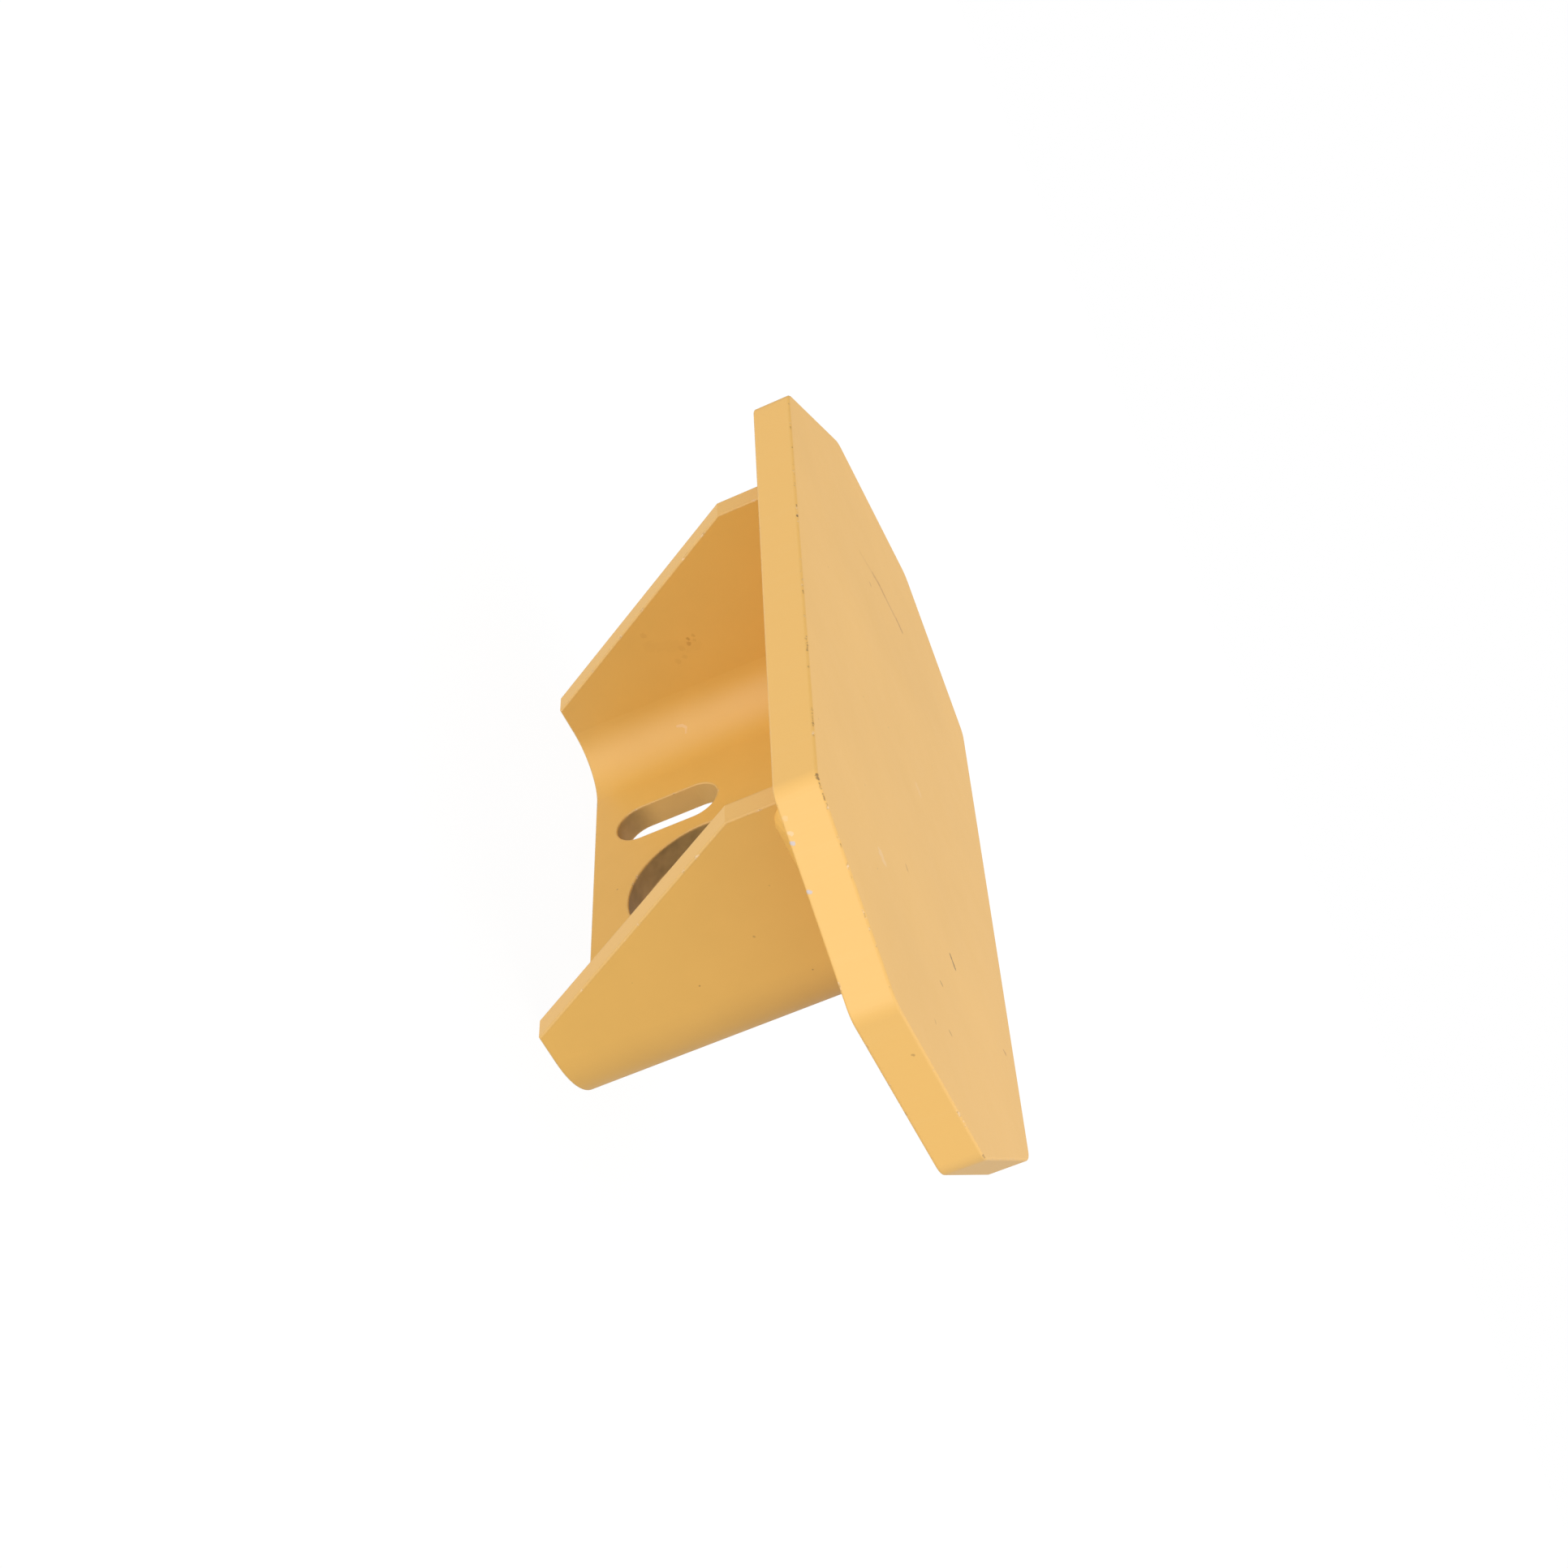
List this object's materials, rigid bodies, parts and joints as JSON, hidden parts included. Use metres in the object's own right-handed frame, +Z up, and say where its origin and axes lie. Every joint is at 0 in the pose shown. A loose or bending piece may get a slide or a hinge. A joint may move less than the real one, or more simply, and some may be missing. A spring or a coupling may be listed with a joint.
{
  "type": "end-plate bracket",
  "caption": "Welded steel bracket: a bent U-channel with tapered flanges, bolt slots and a round window in its web, closed off by a thick octagonal plate.",
  "frame": {"origin": "on the plane of the channel's lower end, straight below the centre of the end plate", "axes": "+Z up along the channel to the end plate; +X along the plate's length; +Y the way the web's flat outer face looks, so the channel is open towards -Y"},
  "size_m": [0.36, 0.17, 0.131],
  "materials": {
    "plate_paint": "semi-gloss yellow enamel, chipped along the edges",
    "channel_paint": "semi-gloss yellow enamel",
    "weld_paint": "semi-gloss yellow enamel over weld ripples"
  },
  "bodies": {
    "root": {"end_plate": "plate_paint", "bent_channel": "channel_paint", "left_flange_weld": "weld_paint", "right_flange_weld": "weld_paint", "web_weld": "weld_paint"}
  },
  "joints": []
}
